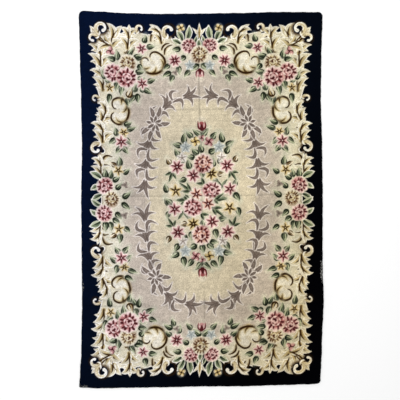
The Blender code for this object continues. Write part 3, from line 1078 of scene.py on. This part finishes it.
medallionStars = [
    ((-16.6, 23.2), 5.2, 7, 15, "pink"), ((17.2, 23.8), 5.2, 7, 5, "pink"),
    ((-6.2, 16.6), 5.0, 7, 30, "pink"), ((7.2, 18.0), 4.8, 7, 10, "yellow"),
    ((-18.3, 6.4), 4.8, 5, 90, "yellow"), ((19.1, 7.4), 5.0, 6, 30, "pink"),
    ((-3.8, 4.0), 4.8, 6, 45, "peach"),
]
medallionBlossoms = [  # centre, radius, petals, turn, petal, line
    ((0.7, 42.8), 2.6, 3, 90, "pink", "burgundy"), ((-3.4, 40.2), 3.6, 4, 20, "yellow", "brown"),
    ((5.6, 40.2), 3.7, 4, 60, "pink", "burgundy"),
]


def drawMedallion(half):
    # half is 0 for the upper half and 180 for the same turned over
    def spot(point):
        point = np.asarray(point, float)
        return 2 * medallionMiddle - point if half else point
    eachOf(leaf, [(spot(base), spot(tip), *rest) for base, tip, *rest in medallionLeaves])
    eachOf(sprig, [(spot(base), [spot(tip) for tip in tips]) for base, tips in medallionSprigs])
    for x in (12.4, -10.8):
        softStar(spot((x, 36.6)), 4.2, "blueGrey", "blueDeep")
    for x in (14.2, -13.4):
        softStar(spot((x, 29.4)), 3.8, "blush", "mauve")
    for draw, rows in ((star, medallionStars), (blossom, medallionBlossoms)):
        eachOf(draw, [(spot(row[0]), *row[1:3], row[3] + half, *row[4:]) for row in rows])
    rose(spot((1.2, 25.4)), 6.9, 90 + half, warm)
    rose(spot((7.0, 6.4)), 6.8, 30 + half, rosy)
    tulip(spot((1.0, 49.0)), spot((1.0, 54.6)), 5.4)


def drawPattern():
    drawGrounds()
    for rows, draw in ((innerRolls, drawInnerRoll), (plumes, drawPlume), (volutes, drawVolute)):
        inQuarters(lambda: eachOf(draw, rows))
    inQuarters(lambda: [drawKidney(kidney) for kidney in kidneys])
    inQuarters(drawBorder)
    inQuarters(drawMidTop, ((1, 1), (1, -1)), 0.0)
    inQuarters(drawMidSide, ((1, 1), (-1, 1)))
    inQuarters(drawWreath, ready=0.0)
    drawMedallion(0)
    drawMedallion(180)


drawPattern()

print("wearAndShade")
# Real stains and bare patches, and painted shade along the creases and folds
wearAndShade = {
    "seed": 7,
    "clouds": [(34.0, 0.03), (9.0, 0.045), (2.4, 0.05)],  # size in cm, depth
    "brokenSize": 14.0,  # of the clouds that break up the creases and folds
    "raggedSize": 1.6,  # of those that fray the stains
    "loopDepth": 0.12,  # one loop's shade against the next
    "streakDepth": 0.03,  # one row's shade against the next
    # How dark the painted shade in a crease is
    "creaseShadeDepth": 0.22,  # where the crease is as deep as creaseFull
    "creaseFull": 0.0016,
    "creaseWidth": 0.9,
    "leftTint": (0.985, 0.985, 1.03),
    "rightTint": (1.0, 0.985, 0.945),
    "footTint": (0.93, 0.90, 0.85),  # the bottom right corner, darker and yellower
    # Painted shade along faint folds in the grey field: from, to, widths
    "folds": [
        ((26.0, 62.0), (48.5, 72.5), (0.8, 1.6, 0.6)), ((19.6, 76.0), (20.0, 86.0), (0.6, 1.2, 0.5)),
        ((-52.0, 20.0), (-44.0, 31.0), (0.6, 1.4, 0.5)), ((30.0, -66.0), (50.0, -60.0), (0.6, 1.3, 0.5)),
        ((-46.0, -52.0), (-30.0, -60.0), (0.6, 1.4, 0.5)),
    ],
    # How dark the painted shade along a fold is
    "foldShadeDepth": 0.14,
    # Soft stains: middle, size, depth
    "stains": [
        ((38.0, 3.6), 4.6, 0.10), ((30.5, -12.0), 7.0, 0.06), ((-30.0, 36.0), 9.0, 0.05),
        ((-6.0, 62.0), 8.0, 0.05), ((46.0, 62.0), 10.0, 0.05), ((-50.0, 6.0), 10.0, 0.05),
        ((18.0, -62.0), 9.0, 0.05), ((-33.0, -28.0), 6.0, 0.06),
    ],
    # Bare patches of the dark border, where the cotton shows: middle, half sizes, share of loops gone
    "bare": [
        ((-80.2, -128.2), (2.4, 1.1), 0.36), ((82.6, -51.0), (0.9, 9.0), 0.45),
        ((-82.8, -60.0), (0.7, 5.0), 0.2),
    ],
    "cotton": (0.62, 0.62, 0.60),
}
dice = np.random.default_rng(wearAndShade["seed"])


def clouds(size):
    # Random numbers from -1 to 1 on a lattice of this size, smoothly blended between
    parts = []
    for line in (alongY, acrossX):
        place = (line - line[0]) / size
        whole = place.astype(int)
        share = place - whole
        share = share * share * (3 - 2 * share)
        weight = np.zeros((len(line), whole.max() + 2))
        weight[np.arange(len(line)), whole] = 1 - share
        weight[np.arange(len(line)), whole + 1] = share
        parts.append(weight)
    lattice = dice.uniform(-1, 1, (parts[0].shape[1], parts[1].shape[1]))
    return parts[0] @ lattice @ parts[1].T


def wearAndPaintedShade():
    # The colours times one plus the clouds, rows and loops, with painted shade along the creases
    # and folds, darker in the stains, cooler to the left, warmer to the right, and darker and
    # yellower towards the bottom right
    shadeOf = 1 + sum(depth * clouds(size) for size, depth in wearAndShade["clouds"])
    shadeOf = shadeOf * (1 + wearAndShade["streakDepth"] * dice.uniform(-1, 1, (rowCount, 1)))
    shadeOf = shadeOf * (1 + wearAndShade["loopDepth"] * dice.uniform(-1, 1, (rowCount, columnCount)))
    broken = np.clip(0.75 + 0.5 * clouds(wearAndShade["brokenSize"]), 0, 1)
    # Painted shade along each crease: the deeper the crease, the darker
    for line, creases in ((gridX, cloth["creasesAlong"]), (gridY, cloth["creasesAcross"])):
        for place, depth in creases:
            near = np.clip(1 - np.abs(line - 100 * place) / wearAndShade["creaseWidth"], 0, 1)
            shadeOf = shadeOf - wearAndShade["creaseShadeDepth"] * depth / wearAndShade["creaseFull"] * near * broken
    # Painted shade down each fold
    for start, end, widths in wearAndShade["folds"]:
        window, gap = gapTo([start, end], widths, 1.2)
        shadeOf[window] -= wearAndShade["foldShadeDepth"] * (np.clip(-gap, 0, 1) * broken[window])
    ragged = 0.6 + 0.4 * clouds(wearAndShade["raggedSize"])
    for (x, y), size, depth in wearAndShade["stains"]:
        shadeOf -= depth * ragged * np.exp(-((gridX - x) ** 2 + (gridY - y) ** 2) / size ** 2)
    side = np.clip(gridX / worked["width"] + 0.5, 0, 1)[..., None]
    foot = np.clip(side * (0.5 - gridY / worked["length"])[..., None] * 1.6 - 0.4, 0, 1)
    tint = np.array(wearAndShade["leftTint"]) * (1 - side) + np.array(wearAndShade["rightTint"]) * side
    tint = tint * (1 - foot) + tint * np.array(wearAndShade["footTint"]) * foot
    canvas[:] = np.clip(canvas * shadeOf[..., None] * tint, 0, 1)
    for (x, y), (wide, long), share in wearAndShade["bare"]:
        inside = 1 - np.hypot((gridX - x) / wide, (gridY - y) / long)
        gone = dice.uniform(0, 1, gridX.shape) < share * np.clip(2 * inside, 0, 1)
        canvas[gone] = np.array(wearAndShade["cotton"]) * dice.uniform(0.6, 1.1, (int(gone.sum()), 1))


wearAndPaintedShade()

print("pile")
pile = {
    "strips": 5,  # pieces side by side, each under the most triangles for a piece
    "loopDrop": 0.0009,  # how far one loop may stand below the next
    "rowGroove": 0.0005,  # between two rows of loops
    "rimStray": 0.0006,  # how far a rim loop leans in or out
    "skirtFlare": 0.0004,  # the foot of the rim beyond its top
    "footHeight": 0.0003,
    "uvSections": 3,  # each strip's map is folded so that it fills a square
    "uvGap": 0.003,
}


def pileSurface():
    # Height: a quarter round from the hem up to the full thickness, less the creases, the
    # grooves between the rows and a random drop for each loop
    x, y, rim = roundedCorners(gridX / 100, gridY / 100)
    share = np.clip(rim / cloth["rollWidth"], 0, 1)
    z = cloth["hemThickness"] + (cloth["thickness"] - cloth["hemThickness"]) * np.sqrt(1 - (1 - share) ** 2)
    for places, creases in ((x, cloth["creasesAlong"]), (y, cloth["creasesAcross"])):
        for place, depth in creases:
            z = z - depth * np.clip(1 - np.abs(places - place) / cloth["creaseHalfWidth"], 0, 1) * share
    z = z - pile["rowGroove"] * (np.arange(rowCount) % 2)[:, None] * share
    z = z - pile["loopDrop"] * dice.random(z.shape) * (0.3 + 0.7 * share)
    x, y = pulledOutOfSquare(x, y)
    stray = pile["rimStray"] * (1 - share)
    x = x + shiftX + stray * dice.uniform(-1, 1, x.shape)
    y = y + shiftY + stray * dice.uniform(-1, 1, x.shape)
    return x, y, z


def withSkirt(x, y, z):
    # One more row of points all round, at the foot of the rim
    x = np.pad(x, 1, mode="edge")
    y = np.pad(y, 1, mode="edge")
    z = np.pad(z, 1, constant_values=pile["footHeight"])
    x[:, 0] -= pile["skirtFlare"]
    x[:, -1] += pile["skirtFlare"]
    y[0] -= pile["skirtFlare"]
    y[-1] += pile["skirtFlare"]
    return x, y, z


def gridFaces(rows, columns):
    # Four corners for each cell, counted round to the left, so that faces look up
    first = (np.arange(rows - 1)[:, None] * columns + np.arange(columns - 1)).ravel()
    return np.stack([first, first + 1, first + columns + 1, first + columns], axis=1)


def meshFrom(name, points, faces):
    mesh = bpy.data.meshes.new(name)
    mesh.vertices.add(len(points))
    mesh.vertices.foreach_set("co", np.asarray(points, np.float32).ravel())
    mesh.loops.add(4 * len(faces))
    mesh.loops.foreach_set("vertex_index", faces.astype(np.int32).ravel())
    mesh.polygons.add(len(faces))
    mesh.polygons.foreach_set("loop_start", np.arange(0, 4 * len(faces), 4, dtype=np.int32))
    mesh.update(calc_edges=True)
    mesh.validate()
    piece = bpy.data.objects.new(name, mesh)
    bpy.context.scene.collection.objects.link(piece)
    return piece


def foldedMap(rows, columns):
    # Where each corner of each cell lies in the square: the strip is cut across into equal
    # sections, laid side by side
    perSection = math.ceil((rows - 1) / pile["uvSections"])
    cellRow, cellColumn = np.divmod(np.arange((rows - 1) * (columns - 1)), columns - 1)
    section = cellRow // perSection
    right = np.array([0, 1, 1, 0])
    up = np.array([0, 0, 1, 1])
    u = (cellColumn[:, None] + right) / (columns - 1)
    v = (cellRow[:, None] - section[:, None] * perSection + up) / perSection
    gap = pile["uvGap"]
    u = (section[:, None] + gap + u * (1 - 2 * gap)) / pile["uvSections"]
    return np.stack([u, v], axis=2)


woolLook = {
    "loopGap": 0.0048,  # metres, as the next two
    "strandGap": 0.0016,
    "bumpHeight": 0.0012,
    "shades": (0.86, 1.14),  # of one loop against the next
    "finish": {
        "Roughness": 0.96, "Specular IOR Level": 0.02, "Sheen Weight": 0.008, "Sheen Roughness": 0.5,
    },
}


def hookedWool():
    # Wool yarn hooked by hand: quite matt, with hardly any bloom at a low angle, each loop a
    # little lighter or darker than the next, and its strands as fine ridges
    material, tree = newMaterial("hooked_wool_yarn")
    place = addNode(tree, "ShaderNodeTexCoord")
    yarn = addNode(tree, "ShaderNodeAttribute", {"attribute_name": "yarnColour"})
    loops = addNode(
        tree, "ShaderNodeTexVoronoi", {"Scale": 1 / woolLook["loopGap"], "Randomness": 0.75},
        {"Vector": (place, "Object")},
    )
    oneLoop = addNode(tree, "ShaderNodeSeparateColor", None, {"Color": (loops, "Color")})
    darkest, lightest = woolLook["shades"]
    level = addNode(
        tree, "ShaderNodeMapRange", {"To Min": darkest, "To Max": lightest}, {"Value": (oneLoop, "Red")}
    )
    shaded = addNode(
        tree, "ShaderNodeVectorMath", {"operation": "SCALE"},
        {0: (yarn, "Color"), "Scale": (level, "Result")},
    )
    strands = addNode(
        tree, "ShaderNodeTexNoise", {"Scale": 1 / woolLook["strandGap"], "Detail": 3.0, "Roughness": 0.6},
        {"Vector": (place, "Object")},
    )
    height = addNode(
        tree, "ShaderNodeMath", {"operation": "SUBTRACT"}, {0: (strands, "Fac"), 1: (loops, "Distance")}
    )
    bump = addNode(
        tree, "ShaderNodeBump", {"Strength": 0.5, "Distance": woolLook["bumpHeight"]},
        {"Height": (height, "Value")},
    )
    finish(tree, woolLook["finish"], {"Base Color": (shaded, "Vector"), "Normal": (bump, "Normal")})
    return material


def makePile():
    # The worked surface in strips that share their edge points, so no gap shows between them
    x, y, z = withSkirt(*pileSurface())
    colour = np.pad(linear(canvas), ((1, 1), (1, 1), (0, 0)), mode="edge")
    colour = np.concatenate([colour, np.ones((*x.shape, 1))], axis=2)
    ends = np.linspace(0, x.shape[1] - 1, pile["strips"] + 1).astype(int)
    wool = hookedWool()
    strips = []
    for k, (start, end) in enumerate(zip(ends[:-1], ends[1:])):
        part = (slice(None), slice(start, end + 1))
        rows, columns = x[part].shape
        points = np.stack([x[part], y[part], z[part]], axis=2).reshape(-1, 3)
        piece = meshFrom(f"hooked_pile_{k + 1}", points, gridFaces(rows, columns))
        layer = piece.data.color_attributes.new("yarnColour", "FLOAT_COLOR", "POINT")
        layer.data.foreach_set("color", colour[part].astype(np.float32).ravel())
        flat = piece.data.uv_layers.new(name="OFBake")
        flat.data.foreach_set("uv", foldedMap(rows, columns).astype(np.float32).ravel())
        piece.data.shade_smooth()
        piece.data.materials.append(wool)
        strips.append(piece)
    return strips


strips = makePile()

print("foundation")
foundation = {
    "inset": 0.003,  # it ends this far inside the outermost loops
    "hem": 0.030,  # width of the edge turned under
    "hemStep": 0.0012,  # the hem's own thickness
    "step": 0.001,
    "floorGap": 0.0003,
    "top": 0.0036,
    "cell": 0.06,
    "threadGap": 0.0016,
    "threadBump": 0.0006,
}


def foundationLines(span):
    # Grid lines at the edge, at both sides of the hem's step, and evenly between them
    half = span / 2 - foundation["inset"]
    fold = half - foundation["hem"]
    inner = np.linspace(-fold, fold, int(round(2 * fold / foundation["cell"])) + 1)
    step = foundation["step"]
    return np.sort(np.concatenate([[-half, -fold - step], inner, [fold + step, half]]))


def unbleachedCotton():
    # Plain-woven cotton: matt and creamy, with threads crossing over and under
    material, tree = newMaterial("plain_woven_cotton")
    place = addNode(tree, "ShaderNodeTexCoord")
    threads = []
    # A wave texture's bands lie 0.314 apart at scale 1
    scale = 0.314 / foundation["threadGap"]
    for direction in ("X", "Y"):
        threads.append(addNode(
            tree, "ShaderNodeTexWave", {"bands_direction": direction, "Scale": scale, "Distortion": 0.6},
            {"Vector": (place, "Object")},
        ))
    weave = addNode(
        tree, "ShaderNodeMath", {"operation": "MULTIPLY"}, {0: (threads[0], "Fac"), 1: (threads[1], "Fac")}
    )
    # Painted shade: the colour darkens where the weave dips between the threads and pales on their tops
    weaveShading = addNode(tree, "ShaderNodeValToRGB", None, {"Fac": (weave, "Value")})
    weaveShading.color_ramp.elements[0].color = rgba("#a39474")
    weaveShading.color_ramp.elements[1].color = rgba("#d8ccb0")
    bump = addNode(
        tree, "ShaderNodeBump", {"Strength": 0.6, "Distance": foundation["threadBump"]},
        {"Height": (weave, "Value")},
    )
    finish(
        tree, {"Roughness": 0.92, "Specular IOR Level": 0.25},
        {"Base Color": (weaveShading, "Color"), "Normal": (bump, "Normal")},
    )
    return material


def makeFoundation():
    # A thin closed slab: its top is level, and underneath the hem stands proud of the middle
    x, y = np.meshgrid(foundationLines(cloth["width"]), foundationLines(cloth["length"]))
    edge = np.minimum(x.max() - np.abs(x), y.max() - np.abs(y))
    x, y, rim = roundedCorners(x, y)
    x, y = pulledOutOfSquare(x, y)
    under = foundation["floorGap"] + np.where(edge < foundation["hem"] - 1e-6, 0, foundation["hemStep"])
    rows, columns = x.shape
    upper = np.stack([x + shiftX, y + shiftY, 0 * x + foundation["top"]], axis=2).reshape(-1, 3)
    lower = np.stack([x + shiftX, y + shiftY, under], axis=2).reshape(-1, 3)
    faces = gridFaces(rows, columns)
    index = np.arange(rows * columns).reshape(rows, columns)
    ring = np.concatenate([index[0, :-1], index[:-1, -1], index[-1, :0:-1], index[:0:-1, 0]])
    onward = np.roll(ring, -1)
    count = rows * columns
    wall = np.stack([ring, ring + count, onward + count, onward], axis=1)
    piece = meshFrom(
        "foundation", np.concatenate([upper, lower]), np.concatenate([faces, faces[:, ::-1] + count, wall])
    )
    piece.data.materials.append(unbleachedCotton())
    return piece


backing = makeFoundation()

for piece in (*strips, backing):
    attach(piece, "root")
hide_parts("rug")
